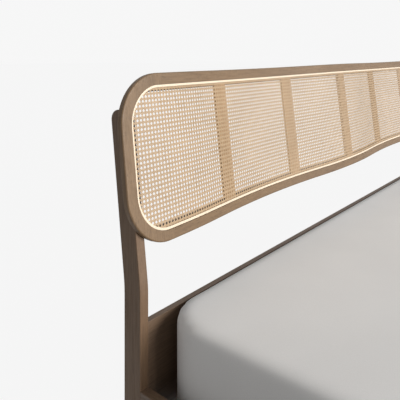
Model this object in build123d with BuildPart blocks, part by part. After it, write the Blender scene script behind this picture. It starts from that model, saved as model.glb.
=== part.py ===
from build123d import *
import os
from math import asin, cos, radians, sin, tan

# Mattress
mattress_width = 2014.0
mattress_length = 2000.0
mattress_height = 237.0
mattress_corner = 112.0
mattress_edge = 22.0
mattress_base_edge = 14.0
mattress_crown = 3.0
mattress_head_gap = 2.0
mattress_foot_gap = 16.0
mattress_seat = 0.3

# Posts, legs and glides
head_post_front = 969.73
post_spacing = 2090.0
leg_width = 24.0
leg_depth = 51.0
leg_easing = 2.0
glide_height = 6.0
glide_diameter = 19.0
glide_pin = 6.0
glide_pin_length = 14.0

# Rails
head_rail_top = 462.0
side_rail_top = 330.0
rail_bottom = 180.0
cross_rail_thickness = 16.0
cross_rail_setback = 7.0
side_rail_thickness = 23.0
rail_easing = 1.5

# Lean of the headboard and of the posts above their bend
lean = 7.02
bend_height = 541.0
bend_radius = 240.0
post_reach = 380.0
post_top_round = 22.0

# Headboard frame, its heights measured along the lean from the bend
board_low = 80.5
board_height = 374.0
board_width = 2168.0
board_corner = 116.0
board_thickness = 15.0
board_side_member = 28.0
board_top_member = 26.9
board_bottom_member = 23.6
board_joint = 130.0
board_easing = 4.0
board_back_easing = 1.5

# Plan curve of the headboard, with one hollow for each sleeper
hollow_reach = 496.0
hollow_share = 0.555
wave_angle = 6.93

# Cane, its bead, the lip behind it and the battens
cane_thickness = 1.6
rebate_depth = 7.2
bead_width = 6.4
bead_height = 2.8
bead_round = 1.2
lip_width = 8.0
rebate_corner = 90.0
window_corner = 57.0
edge_clearance = 0.3
batten_width = 49.0
batten_spacing = 355.0
batten_count = 5
batten_bearing = 30.0
batten_clearance = 0.3

# Slats, ledges and the centre beam
platform_height = 236.0
slat_width = 90.0
slat_thickness = 18.0
slat_count = 13
slat_end_clearance = 3.0
slat_easing = 2.0
ledge_width = 26.0
ledge_height = 28.0
ledge_end_gap = 30.0
beam_width = 40.0
beam_height = 50.0
beam_end_clearance = 1.0
hanger_plate = 2.5
hanger_height = 40.0
hanger_depth = 34.0
hanger_ear = 22.0
centre_leg_size = 40.0
centre_leg_count = 3

# Fittings
hole_clearance = 0.3
cut_overshoot = 1.0
edge_tolerance = 0.2
rail_bolt = 6.0
rail_bolt_head = 10.0
rail_bolt_head_height = 5.0
rail_bolt_bite = 45.0
rail_bolt_sink = 6.0
cross_bolt_sink = 6.0
cross_bolt_bite = 40.0
barrel_diameter = 10.0
barrel_back = 12.0
side_barrel_length = 14.0
cross_barrel_length = 11.0
side_bolt_heights = (205.0, 300.0)
cross_bolt_heights = (232.0, 275.0)
board_bolt = 4.0
board_bolt_head = 9.0
board_bolt_head_height = 3.0
board_bolt_sink = 6.0
board_bolt_count = 3
board_bolt_spacing = 105.0
board_bolt_first = 125.0
board_bolt_end_gap = 1.0
insert_diameter = 7.0
insert_length = 6.4
screw = 4.0
screw_head = 8.0
screw_head_height = 2.4
screw_sink = 3.0
batten_screw_grip = 8.5
batten_screw_inset = 7.0
slat_screw_grip = 24.0
ledge_screw_grip = 34.0
ledge_screw_count = 6
hanger_screw_grip = 10.0
hanger_screw_depths = (12.0, 30.0)
leg_screw = 6.0
leg_screw_head = 11.0
leg_screw_grip = 85.0
dowel_diameter = 6.0
dowel_length = 30.0
dowel_clearance = 0.3
dowel_spacing = 11.0

# Places worked out from the sizes above
post_x = post_spacing / 2
bed_inner_half = post_x - leg_width / 2
side_rail_x = post_x + leg_width / 2 - side_rail_thickness / 2
side_rail_inner = side_rail_x - side_rail_thickness / 2
head_rail_front = head_post_front + cross_rail_setback
mattress_head = head_rail_front - mattress_head_gap
mattress_foot = mattress_head - mattress_length
foot_rail_inner = mattress_foot - mattress_foot_gap
foot_rail_outer = foot_rail_inner - cross_rail_thickness
foot_leg_outer = foot_rail_outer - cross_rail_setback
foot_leg_inner = foot_leg_outer + leg_depth
slat_bottom = platform_height - slat_thickness
hollow_radius = hollow_reach * hollow_share / sin(radians(wave_angle))
crest_radius = hollow_reach * (1 - hollow_share) / sin(radians(wave_angle))
wave_depth = (hollow_radius + crest_radius) * (1 - cos(radians(wave_angle)))
through_board = 4 * board_thickness + 2 * wave_depth
rebate_floor = rebate_depth - board_thickness
cane_front = rebate_floor - cane_thickness
lean_up = (0, sin(radians(lean)), cos(radians(lean)))
lean_forward = (0, -cos(radians(lean)), sin(radians(lean)))
lean_backward = (0, cos(radians(lean)), -sin(radians(lean)))
lean_plane = Plane(origin=(0, head_post_front, bend_height), x_dir=(1, 0, 0), z_dir=lean_up)
face_plane = Plane(origin=(0, head_post_front, bend_height), x_dir=(1, 0, 0), z_dir=lean_forward)


# Shared helpers
def wave_at(x):
    """Return how far back the plan curve lies at a distance along the bed's width."""
    turn = hollow_radius * sin(radians(wave_angle))
    off_hollow = abs(abs(x) - hollow_reach)
    if abs(x) >= 2 * hollow_reach:
        return 0.0
    if off_hollow <= turn:
        return wave_depth - hollow_radius * (1 - cos(asin(off_hollow / hollow_radius)))
    off_crest = hollow_reach - off_hollow
    return crest_radius * (1 - cos(asin(off_crest / crest_radius)))


def plan_curve(depth):
    """Draw the headboard's plan curve, set back from its front line by a depth."""
    half = board_width / 2
    start = Line((-half, depth), (-2 * hollow_reach, depth))
    leave = JernArc(start @ 1, start % 1, crest_radius - depth, wave_angle)
    left = JernArc(leave @ 1, leave % 1, hollow_radius + depth, -2 * wave_angle)
    crest = JernArc(left @ 1, left % 1, crest_radius - depth, 2 * wave_angle)
    right = JernArc(crest @ 1, crest % 1, hollow_radius + depth, -2 * wave_angle)
    join = JernArc(right @ 1, right % 1, crest_radius - depth, wave_angle)
    Line(join @ 1, (half, depth))


def curved_band(front, back):
    """Make the whole bent band between two depths, over the headboard's height."""
    half = board_width / 2
    with BuildPart() as band:
        with BuildSketch(lean_plane.offset(board_low)):
            with BuildLine():
                plan_curve(front)
                plan_curve(back)
                Line((-half, front), (-half, back))
                Line((half, front), (half, back))
            make_face()
        extrude(amount=board_height)
    return band.part


def rounded_prism(half_width, low, high, corner):
    """Make a prism with a rounded outline, square to the headboard's face."""
    with BuildPart() as prism:
        with BuildSketch(face_plane):
            with Locations((0, (low + high) / 2)):
                RectangleRounded(2 * half_width, high - low, corner)
        extrude(amount=through_board, both=True)
    return prism.part


def inside_members(inset, corner):
    """Make a prism with the outline inside the frame's members, drawn in by an inset."""
    return rounded_prism(
        board_width / 2 - board_side_member - inset,
        board_low + board_bottom_member + inset,
        board_low + board_height - board_top_member - inset,
        corner,
    )


def curved_panel(front, back, prism):
    """Make a bent panel between two depths, with the outline of a prism."""
    band = curved_band(front, back)
    with BuildPart() as panel:
        add(band)
        add(prism, mode=Mode.INTERSECT)
    return panel.part


def headed_pin(shaft, grip, head, head_height, open_above):
    """Make one headed pin from the origin down its axis, its head lengthened above the origin."""
    with BuildPart() as pin:
        with BuildSketch(Plane.XY.offset(-open_above)):
            Circle(head / 2)
        extrude(amount=head_height + open_above)
        with BuildSketch(Plane.XY.offset(head_height)):
            Circle(shaft / 2)
        extrude(amount=grip)
    return pin.part


def fasteners(places, shaft, grip, head, head_height):
    """Make headed pins, one at each place, driven along the place's normal."""
    pin = headed_pin(shaft, grip, head, head_height, 0)
    with BuildPart() as group:
        with Locations(*places):
            add(pin)
    return group.part


def fastener_holes(places, shaft, grip, head, head_height, sink):
    """Make the holes that a set of headed pins needs, open above each head."""
    spare = hole_clearance
    pin = headed_pin(shaft + spare, grip + spare, head + spare, head_height, sink)
    with BuildPart() as group:
        with Locations(*places):
            add(pin)
    return group.part


def beside(places, side):
    """Keep the places on one side of the bed."""
    return [place for place in places if place.origin.X * side > 0]


def along(places, y, reach):
    """Keep the places that lie within reach of a distance along the bed."""
    return [place for place in places if abs(place.origin.Y - y) < reach]


def rods(places, diameter, length):
    """Make plain round rods centred on each place, along the place's normal."""
    with BuildPart() as group:
        with Locations(*places):
            Cylinder(radius=diameter / 2, height=length)
    return group.part


def board_place(x, depth, height, direction):
    """Return a plane on the leaning headboard, its normal along a direction."""
    return Plane(origin=lean_plane.from_local_coords((x, depth, height)), z_dir=direction)


def pick(solid, low, high):
    """Keep the share of a solid that lies between two corners in the leaning frame."""
    size = [b - a for a, b in zip(low, high)]
    middle = [(a + b) / 2 for a, b in zip(low, high)]
    with BuildPart() as kept:
        add(solid)
        with Locations(lean_plane):
            with Locations(tuple(middle)):
                Box(size[0], size[1], size[2], mode=Mode.INTERSECT)
    return kept.part


# Places of the fittings
head_side_bolt_places = [
    Plane(origin=(side * side_rail_x, head_post_front + leg_depth - rail_bolt_sink, height), z_dir=(0, -1, 0))
    for side in (-1, 1)
    for height in side_bolt_heights
]
foot_side_bolt_places = [
    Plane(origin=(side * side_rail_x, foot_leg_outer + rail_bolt_sink, height), z_dir=(0, 1, 0))
    for side in (-1, 1)
    for height in side_bolt_heights
]
side_bolt_grip = leg_depth - rail_bolt_sink - rail_bolt_head_height + rail_bolt_bite
cross_bolt_grip = leg_width - cross_bolt_sink - rail_bolt_head_height + cross_bolt_bite
head_rail_y = head_rail_front + cross_rail_thickness / 2
foot_rail_y = foot_rail_outer + cross_rail_thickness / 2
cross_bolt_places = [
    Plane(origin=(side * (post_x + leg_width / 2 - cross_bolt_sink), y, height), z_dir=(-side, 0, 0))
    for side in (-1, 1)
    for y in (head_rail_y, foot_rail_y)
    for height in cross_bolt_heights
]
side_barrel_reach = rail_bolt_bite - barrel_back
side_barrel_places = [
    Plane(origin=(side * side_rail_x, y, height), x_dir=(0, 0, 1), z_dir=(side, 0, 0))
    for side in (-1, 1)
    for y in (head_post_front - side_barrel_reach, foot_leg_inner + side_barrel_reach)
    for height in side_bolt_heights
]
cross_barrel_x = bed_inner_half - (cross_bolt_bite - barrel_back)
cross_barrel_places = [
    Plane(origin=(side * cross_barrel_x, y, height), x_dir=(0, 0, 1), z_dir=(0, facing, 0))
    for side in (-1, 1)
    for y, facing in ((head_rail_y, 1), (foot_rail_y, -1))
    for height in cross_bolt_heights
]
board_bolt_x = board_width / 2 - board_side_member - (bead_width + lip_width) / 2
board_bolt_heights = [board_bolt_first + board_bolt_spacing * step for step in range(board_bolt_count)]
board_bolt_places = [
    board_place(side * board_bolt_x, leg_depth - board_bolt_sink, height, lean_forward)
    for side in (-1, 1)
    for height in board_bolt_heights
]
board_bolt_grip = leg_depth - board_bolt_sink - board_bolt_head_height + insert_length
insert_places = [
    board_place(side * board_bolt_x, -insert_length / 2, height, lean_forward)
    for side in (-1, 1)
    for height in board_bolt_heights
]
batten_xs = [(step - (batten_count - 1) / 2) * batten_spacing for step in range(batten_count)]
batten_low = board_low + board_bottom_member + bead_width + lip_width - batten_bearing
batten_high = board_low + board_height - board_top_member - bead_width - lip_width + batten_bearing
batten_middle = (batten_low + batten_high) / 2
batten_screw_places = [
    board_place(x, wave_at(x) - screw_sink + screw_head_height, height, lean_forward)
    for x in batten_xs
    for height in (batten_low + batten_screw_inset, batten_high - batten_screw_inset)
]
corner_leg_ys = [head_post_front + leg_depth / 2, foot_leg_outer + leg_depth / 2]
glide_places = [(side * post_x, y) for side in (-1, 1) for y in corner_leg_ys]
bay = head_rail_front - foot_rail_inner
centre_leg_step = bay / (centre_leg_count + 1)
centre_leg_ys = [foot_rail_inner + centre_leg_step * (step + 1) for step in range(centre_leg_count)]
slat_step = bay / slat_count
slat_ys = [foot_rail_inner + slat_step * (step + 0.5) for step in range(slat_count)]
ledge_inner = side_rail_inner - ledge_width


# Head posts
def make_head_post(side):
    """Make one head post, upright below its bend and leaning with the headboard above it."""
    back = head_post_front + leg_depth
    half_turn = tan(radians(lean / 2))
    top_front = lean_plane.from_local_coords((0, 0, post_reach))
    top_back = lean_plane.from_local_coords((0, leg_depth, post_reach))
    side_bolts = beside(head_side_bolt_places, side)
    cross_bolts = along(beside(cross_bolt_places, side), head_rail_y, leg_depth)
    board_bolts = beside(board_bolt_places, side)
    side_holes = fastener_holes(
        side_bolts, rail_bolt, side_bolt_grip, rail_bolt_head, rail_bolt_head_height, rail_bolt_sink
    )
    cross_holes = fastener_holes(
        cross_bolts, rail_bolt, cross_bolt_grip, rail_bolt_head, rail_bolt_head_height, cross_bolt_sink
    )
    board_holes = fastener_holes(
        board_bolts, board_bolt, board_bolt_grip, board_bolt_head, board_bolt_head_height, board_bolt_sink
    )
    with BuildPart() as post:
        with BuildSketch(Plane.YZ.offset(side * post_x)) as profile:
            with BuildLine():
                Polyline(
                    (head_post_front, glide_height),
                    (head_post_front, bend_height),
                    (top_front.Y, top_front.Z),
                    (top_back.Y, top_back.Z),
                    (back, bend_height - leg_depth * half_turn),
                    (back, glide_height),
                    close=True,
                )
            make_face()
            corners = profile.vertices().sort_by(Axis.Y)
            fillet(corners[-2:], radius=post_top_round)
            fillet(profile.vertices().sort_by_distance((head_post_front, bend_height))[0], radius=bend_radius)
            fillet(
                profile.vertices().sort_by_distance((back, bend_height - leg_depth * half_turn))[0],
                radius=bend_radius + leg_depth,
            )
        extrude(amount=leg_width / 2, both=True)
        rim = post.faces().sort_by(Axis.X)
        fillet(rim[0].edges() + rim[-1].edges(), radius=leg_easing)
        with BuildSketch(Plane.XY.offset(glide_height)):
            with Locations((side * post_x, head_post_front + leg_depth / 2)):
                Circle((glide_pin + hole_clearance) / 2)
        extrude(amount=glide_pin_length + hole_clearance, mode=Mode.SUBTRACT)
        add(side_holes, mode=Mode.SUBTRACT)
        add(cross_holes, mode=Mode.SUBTRACT)
        add(board_holes, mode=Mode.SUBTRACT)
    return post.part


# Foot legs
def make_foot_leg(side):
    """Make one short leg at the foot of the bed."""
    side_bolts = beside(foot_side_bolt_places, side)
    cross_bolts = along(beside(cross_bolt_places, side), foot_rail_y, leg_depth)
    side_holes = fastener_holes(
        side_bolts, rail_bolt, side_bolt_grip, rail_bolt_head, rail_bolt_head_height, rail_bolt_sink
    )
    cross_holes = fastener_holes(
        cross_bolts, rail_bolt, cross_bolt_grip, rail_bolt_head, rail_bolt_head_height, cross_bolt_sink
    )
    with BuildPart() as leg:
        with BuildSketch(Plane.XY.offset(glide_height)):
            with Locations((side * post_x, foot_leg_outer + leg_depth / 2)):
                Rectangle(leg_width, leg_depth)
        extrude(amount=side_rail_top - glide_height)
        fillet(leg.edges().filter_by(Axis.Z) + leg.faces().sort_by(Axis.Z)[-1].edges(), radius=leg_easing)
        with BuildSketch(Plane.XY.offset(glide_height)):
            with Locations((side * post_x, foot_leg_outer + leg_depth / 2)):
                Circle((glide_pin + hole_clearance) / 2)
        extrude(amount=glide_pin_length + hole_clearance, mode=Mode.SUBTRACT)
        add(side_holes, mode=Mode.SUBTRACT)
        add(cross_holes, mode=Mode.SUBTRACT)
    return leg.part


# Glides under the corner legs and the centre legs
def make_glides():
    """Make the round glides, each with a pin up into its leg."""
    with BuildPart() as glides:
        spots = glide_places + [(0, y) for y in centre_leg_ys]
        with BuildSketch():
            with Locations(*spots):
                Circle(glide_diameter / 2)
        extrude(amount=glide_height)
        with BuildSketch(Plane.XY.offset(glide_height)):
            with Locations(*spots):
                Circle(glide_pin / 2)
        extrude(amount=glide_pin_length)
    return glides.part


# Rails
def make_cross_rail(front, top, facing):
    """Make the head rail or the foot rail, with its bolt and barrel holes."""
    middle = front + cross_rail_thickness / 2
    ends = along(cross_bolt_places, middle, cross_rail_thickness)
    barrels = along(cross_barrel_places, middle, cross_rail_thickness)
    bolt_holes = fastener_holes(
        ends, rail_bolt, cross_bolt_grip, rail_bolt_head, rail_bolt_head_height, cross_bolt_sink
    )
    inner = cross_rail_thickness / 2 * facing
    deep = cross_rail_thickness / 2 + cross_barrel_length / 2 + hole_clearance
    screws = fastener_holes(
        hanger_screw_places(middle - inner, facing), screw, hanger_screw_grip, screw, screw_head_height, 0
    )
    with BuildPart() as rail:
        with BuildSketch(Plane.XY.offset(rail_bottom)):
            with Locations((0, middle)):
                Rectangle(2 * bed_inner_half, cross_rail_thickness)
        extrude(amount=top - rail_bottom)
        fillet(rail.edges().filter_by(Axis.X), radius=rail_easing)
        add(bolt_holes, mode=Mode.SUBTRACT)
        for place in barrels:
            with BuildSketch(place.offset(-cross_rail_thickness / 2)):
                Circle((barrel_diameter + hole_clearance) / 2)
            extrude(amount=deep, mode=Mode.SUBTRACT)
        add(screws, mode=Mode.SUBTRACT)
    return rail.part


def make_side_rail(side):
    """Make one side rail, with its bolt, barrel and ledge screw holes."""
    length = head_post_front - foot_leg_inner
    bolts = fastener_holes(
        beside(head_side_bolt_places + foot_side_bolt_places, side),
        rail_bolt,
        side_bolt_grip,
        rail_bolt_head,
        rail_bolt_head_height,
        rail_bolt_sink,
    )
    screws = fastener_holes(
        ledge_screw_places(side), screw, ledge_screw_grip, screw_head, screw_head_height, 0
    )
    deep = side_rail_thickness / 2 + side_barrel_length / 2 + hole_clearance
    with BuildPart() as rail:
        with BuildSketch(Plane.XY.offset(rail_bottom)):
            with Locations((side * side_rail_x, foot_leg_inner + length / 2)):
                Rectangle(side_rail_thickness, length)
        extrude(amount=side_rail_top - rail_bottom)
        fillet(rail.edges().filter_by(Axis.Y), radius=rail_easing)
        add(bolts, mode=Mode.SUBTRACT)
        for place in beside(side_barrel_places, side):
            with BuildSketch(place.offset(-side_rail_thickness / 2)):
                Circle((barrel_diameter + hole_clearance) / 2)
            extrude(amount=deep, mode=Mode.SUBTRACT)
        add(screws, mode=Mode.SUBTRACT)
    return rail.part


# Barrel nuts
def make_barrels(places, length):
    """Make barrel nuts, each crossed by its bolt's hole."""
    turned = (90, 0, 0)
    with BuildPart() as nut:
        Cylinder(radius=barrel_diameter / 2, height=length)
        Cylinder(
            radius=(rail_bolt + hole_clearance) / 2,
            height=2 * barrel_diameter,
            rotation=turned,
            mode=Mode.SUBTRACT,
        )
    with BuildPart() as nuts:
        with Locations(*places):
            add(nut.part)
    return nuts.part


# Ledges that carry the slats
def ledge_ys():
    """Return where a ledge's screws stand along its length."""
    low = foot_leg_inner + ledge_end_gap
    high = head_post_front - ledge_end_gap
    return [low + (high - low) * (step + 0.5) / ledge_screw_count for step in range(ledge_screw_count)]


def ledge_screw_places(side):
    """Return the ledge screws' places, driven outwards from the ledge's inner face."""
    x = side * (ledge_inner + screw_sink - screw_head_height)
    height = slat_bottom - ledge_height / 2
    return [Plane(origin=(x, y, height), z_dir=(side, 0, 0)) for y in ledge_ys()]


def slat_screw_places():
    """Return the slat screws' places, driven down into the ledges."""
    x = side_rail_inner - ledge_width / 2
    height = platform_height - screw_sink + screw_head_height
    return [Plane(origin=(side * x, y, height), z_dir=(0, 0, -1)) for side in (-1, 1) for y in slat_ys]


def make_ledge(side):
    """Make the ledge along the inside of one side rail."""
    low = foot_leg_inner + ledge_end_gap
    high = head_post_front - ledge_end_gap
    own = fastener_holes(
        ledge_screw_places(side), screw, ledge_screw_grip, screw_head, screw_head_height, screw_sink
    )
    driven = beside(slat_screw_places(), side)
    slat = fastener_holes(driven, screw, slat_screw_grip, screw_head, screw_head_height, screw_sink)
    with BuildPart() as ledge:
        with BuildSketch(Plane.XY.offset(slat_bottom - ledge_height)):
            with Locations((side * (side_rail_inner - ledge_width / 2), (low + high) / 2)):
                Rectangle(ledge_width, high - low)
        extrude(amount=ledge_height)
        chamfer(ledge.edges().filter_by(Axis.Y), length=rail_easing)
        add(own, mode=Mode.SUBTRACT)
        add(slat, mode=Mode.SUBTRACT)
    return ledge.part


# Slats
def make_slat(y):
    """Make one slat from ledge to ledge, over the centre beam."""
    driven = along(slat_screw_places(), y, slat_width / 2)
    holes = fastener_holes(driven, screw, slat_screw_grip, screw_head, screw_head_height, screw_sink)
    with BuildPart() as slat:
        with BuildSketch(Plane.XY.offset(slat_bottom)):
            with Locations((0, y)):
                Rectangle(2 * (side_rail_inner - slat_end_clearance), slat_width)
        extrude(amount=slat_thickness)
        fillet(slat.edges().filter_by(Axis.X), radius=slat_easing)
        add(holes, mode=Mode.SUBTRACT)
    return slat.part


# Centre beam, its hangers and its legs
beam_head = head_rail_front - hanger_plate - beam_end_clearance
beam_foot = foot_rail_inner + hanger_plate + beam_end_clearance


def hanger_screw_places(face, facing):
    """Return the places of a hanger's screws, driven into the rail behind it."""
    x = beam_width / 2 + hanger_plate + hanger_ear / 2
    origin_y = face - facing * (hanger_plate + screw_head_height)
    heights = [slat_bottom - depth for depth in hanger_screw_depths]
    spots = [(side * x, height) for side in (-1, 1) for height in heights]
    return [Plane(origin=(sx, origin_y, height), z_dir=(0, facing, 0)) for sx, height in spots]


def make_hanger(face, facing):
    """Make a bent steel hanger: a cradle for the beam's end with an ear on each side."""
    inner = beam_width + edge_clearance
    bottom = slat_bottom - beam_height - hanger_plate
    middle = face - facing * hanger_depth / 2
    places = hanger_screw_places(face, facing)
    screws = fastener_holes(
        places, screw, hanger_screw_grip, screw_head, screw_head_height, cut_overshoot
    )
    with BuildPart() as hanger:
        with Locations((0, face - facing * hanger_plate / 2, bottom + hanger_plate + hanger_height / 2)):
            Box(inner + 2 * hanger_plate + 2 * hanger_ear, hanger_plate, hanger_height + 2 * hanger_plate)
        with Locations((0, middle, bottom + (hanger_height + hanger_plate) / 2)):
            Box(inner + 2 * hanger_plate, hanger_depth, hanger_height + hanger_plate)
        with Locations((0, middle - facing * hanger_plate, bottom + hanger_plate + hanger_height / 2)):
            Box(inner, hanger_depth, hanger_height, mode=Mode.SUBTRACT)
        add(screws, mode=Mode.SUBTRACT)
    return hanger.part


def leg_screw_places():
    """Return the places of the screws that hold the centre legs under the beam."""
    height = slat_bottom - screw_sink + screw_head_height
    return [Plane(origin=(0, y, height), z_dir=(0, 0, -1)) for y in centre_leg_ys]


def make_beam():
    """Make the centre beam that the slats cross."""
    holes = fastener_holes(
        leg_screw_places(), leg_screw, leg_screw_grip, leg_screw_head, screw_head_height, screw_sink
    )
    with BuildPart() as beam:
        with BuildSketch(Plane.XY.offset(slat_bottom - beam_height)):
            with Locations((0, (beam_head + beam_foot) / 2)):
                Rectangle(beam_width, beam_head - beam_foot)
        extrude(amount=beam_height)
        fillet(beam.edges().filter_by(Axis.Y), radius=rail_easing)
        add(holes, mode=Mode.SUBTRACT)
    return beam.part


def make_centre_leg(y):
    """Make one square leg under the centre beam."""
    driven = along(leg_screw_places(), y, centre_leg_size)
    holes = fastener_holes(driven, leg_screw, leg_screw_grip, leg_screw_head, screw_head_height, screw_sink)
    with BuildPart() as leg:
        with BuildSketch(Plane.XY.offset(glide_height)):
            with Locations((0, y)):
                Rectangle(centre_leg_size, centre_leg_size)
        extrude(amount=slat_bottom - beam_height - glide_height)
        fillet(leg.edges().filter_by(Axis.Z), radius=rail_easing)
        with BuildSketch(Plane.XY.offset(glide_height)):
            with Locations((0, y)):
                Circle((glide_pin + hole_clearance) / 2)
        extrude(amount=glide_pin_length + hole_clearance, mode=Mode.SUBTRACT)
        add(holes, mode=Mode.SUBTRACT)
    return leg.part


# Housings and dowels of the headboard frame
def housings():
    """Make the housings that take the battens' ends."""
    band = curved_band(rebate_floor, board_thickness)
    spare = 2 * batten_clearance
    with BuildPart() as cutters:
        for x in batten_xs:
            with Locations(lean_plane):
                with Locations((x, 0, batten_middle)):
                    Box(batten_width + spare, through_board, batten_high - batten_low + spare)
        add(band, mode=Mode.INTERSECT)
    return cutters.part


def dowel_places():
    """Return the places of the dowels across the frame's four joints."""
    x = board_width / 2 - board_joint
    low = board_low + board_bottom_member / 2
    high = board_low + board_height - board_top_member / 2
    return [
        board_place(side * x, wave_at(x) - board_thickness / 2, height + shift, (1, 0, 0))
        for side in (-1, 1)
        for height in (low, high)
        for shift in (-dowel_spacing / 2, dowel_spacing / 2)
    ]


def near_outline(edge, depth):
    """Tell whether an edge runs along the board's outline at a depth."""
    spot = lean_plane.to_local_coords(edge @ 0.5)
    low = spot.Z - board_low < board_corner / 2
    high = board_low + board_height - spot.Z < board_corner / 2
    side = board_width / 2 - abs(spot.X) < board_corner / 2
    return abs(spot.Y - wave_at(spot.X) - depth) < edge_tolerance and (low or high or side)


# Headboard frame, split into its four pieces
def make_frame():
    """Make the bent frame in one piece, rebated for the cane and housed for the battens."""
    outline = rounded_prism(board_width / 2, board_low, board_low + board_height, board_corner)
    body = curved_panel(-board_thickness, 0, outline)
    rebate = curved_panel(-board_thickness - cut_overshoot, rebate_floor, inside_members(0, rebate_corner))
    window = inside_members(bead_width + lip_width, window_corner)
    housing = housings()
    screws = fastener_holes(
        batten_screw_places, screw, batten_screw_grip, screw_head, screw_head_height, screw_sink
    )
    inserts = rods(insert_places, insert_diameter + hole_clearance, insert_length)
    dowels = rods(dowel_places(), dowel_diameter + dowel_clearance, dowel_length + dowel_clearance)
    with BuildPart() as frame:
        add(body)
        fillet([edge for edge in frame.edges() if near_outline(edge, -board_thickness)], radius=board_easing)
        fillet([edge for edge in frame.edges() if near_outline(edge, 0)], radius=board_back_easing)
        add(rebate, mode=Mode.SUBTRACT)
        add(window, mode=Mode.SUBTRACT)
        add(housing, mode=Mode.SUBTRACT)
        add(screws, mode=Mode.SUBTRACT)
        add(inserts, mode=Mode.SUBTRACT)
        add(dowels, mode=Mode.SUBTRACT)
    return frame.part


frame = make_frame()
far = board_width
joint_x = board_width / 2 - board_joint
board_middle = board_low + board_height / 2

with BuildPart() as headboard_top_rail:
    add(pick(frame, (-joint_x, -far, board_middle), (joint_x, far, far)))
headboard_top_rail.part.label = "headboard_top_rail"

with BuildPart() as headboard_bottom_rail:
    add(pick(frame, (-joint_x, -far, -far), (joint_x, far, board_middle)))
headboard_bottom_rail.part.label = "headboard_bottom_rail"

with BuildPart() as headboard_left_end:
    add(pick(frame, (-far, -far, -far), (-joint_x, far, far)))
headboard_left_end.part.label = "headboard_left_end"

with BuildPart() as headboard_right_end:
    add(pick(frame, (joint_x, -far, -far), (far, far, far)))
headboard_right_end.part.label = "headboard_right_end"

with BuildPart() as headboard_dowels:
    add(rods(dowel_places(), dowel_diameter, dowel_length))
headboard_dowels.part.label = "headboard_dowels"


# Cane sheet and the bead that holds it
cane_prism = inside_members(edge_clearance, rebate_corner - edge_clearance)

with BuildPart() as cane_webbing:
    add(curved_panel(cane_front, rebate_floor, cane_prism))
cane_webbing.part.label = "cane_webbing"

bead_body = curved_panel(cane_front - bead_height, cane_front, cane_prism)
bead_opening = inside_members(bead_width, rebate_corner - bead_width)

with BuildPart() as cane_bead:
    add(bead_body)
    add(bead_opening, mode=Mode.SUBTRACT)
    bead_rim = [
        edge
        for edge in cane_bead.edges()
        if near_outline(edge, cane_front - bead_height)
    ]
    fillet(bead_rim, radius=bead_round)
cane_bead.part.label = "cane_bead"


# Battens behind the cane
batten_band = curved_band(rebate_floor, 0)
batten_holes = fastener_holes(
    batten_screw_places, screw, batten_screw_grip, screw_head, screw_head_height, screw_sink
)


def make_batten(x):
    """Make one upright batten, curved with the cane that it backs."""
    with BuildPart() as batten:
        with Locations(lean_plane):
            with Locations((x, 0, batten_middle)):
                Box(batten_width, through_board, batten_high - batten_low)
        add(batten_band, mode=Mode.INTERSECT)
        add(batten_holes, mode=Mode.SUBTRACT)
    return batten.part


batten_names = ["batten_far_left", "batten_left", "batten_centre", "batten_right", "batten_far_right"]
battens = []
for name, x in zip(batten_names, batten_xs):
    with BuildPart() as batten_piece:
        add(make_batten(x))
    batten_piece.part.label = name
    battens.append(batten_piece.part)

with BuildPart() as batten_screws:
    add(fasteners(batten_screw_places, screw, batten_screw_grip, screw_head, screw_head_height))
batten_screws.part.label = "batten_screws"


# Posts and legs
with BuildPart() as left_head_post:
    add(make_head_post(-1))
left_head_post.part.label = "left_head_post"

with BuildPart() as right_head_post:
    add(make_head_post(1))
right_head_post.part.label = "right_head_post"

with BuildPart() as left_foot_leg:
    add(make_foot_leg(-1))
left_foot_leg.part.label = "left_foot_leg"

with BuildPart() as right_foot_leg:
    add(make_foot_leg(1))
right_foot_leg.part.label = "right_foot_leg"

with BuildPart() as glides:
    add(make_glides())
glides.part.label = "glides"


# Bolts and threaded inserts between the posts and the headboard
with BuildPart() as headboard_bolts:
    add(
        fasteners(
            board_bolt_places,
            board_bolt,
            board_bolt_grip - board_bolt_end_gap,
            board_bolt_head,
            board_bolt_head_height,
        )
    )
headboard_bolts.part.label = "headboard_bolts"

insert_bores = rods(insert_places, board_bolt + hole_clearance, 2 * insert_length)

with BuildPart() as headboard_inserts:
    add(rods(insert_places, insert_diameter, insert_length))
    add(insert_bores, mode=Mode.SUBTRACT)
headboard_inserts.part.label = "headboard_inserts"


# Rails
with BuildPart() as head_rail:
    add(make_cross_rail(head_rail_front, head_rail_top, 1))
head_rail.part.label = "head_rail"

with BuildPart() as foot_rail:
    add(make_cross_rail(foot_rail_outer, side_rail_top, -1))
foot_rail.part.label = "foot_rail"

with BuildPart() as left_side_rail:
    add(make_side_rail(-1))
left_side_rail.part.label = "left_side_rail"

with BuildPart() as right_side_rail:
    add(make_side_rail(1))
right_side_rail.part.label = "right_side_rail"


# Rail bolts and barrel nuts
with BuildPart() as side_rail_bolts:
    add(
        fasteners(
            head_side_bolt_places + foot_side_bolt_places,
            rail_bolt,
            side_bolt_grip,
            rail_bolt_head,
            rail_bolt_head_height,
        )
    )
side_rail_bolts.part.label = "side_rail_bolts"

with BuildPart() as cross_rail_bolts:
    add(fasteners(cross_bolt_places, rail_bolt, cross_bolt_grip, rail_bolt_head, rail_bolt_head_height))
cross_rail_bolts.part.label = "cross_rail_bolts"

with BuildPart() as side_rail_barrels:
    add(make_barrels(side_barrel_places, side_barrel_length))
side_rail_barrels.part.label = "side_rail_barrels"

with BuildPart() as cross_rail_barrels:
    add(make_barrels(cross_barrel_places, cross_barrel_length))
cross_rail_barrels.part.label = "cross_rail_barrels"


# Ledges and their screws
with BuildPart() as left_ledge:
    add(make_ledge(-1))
left_ledge.part.label = "left_ledge"

with BuildPart() as right_ledge:
    add(make_ledge(1))
right_ledge.part.label = "right_ledge"

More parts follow.
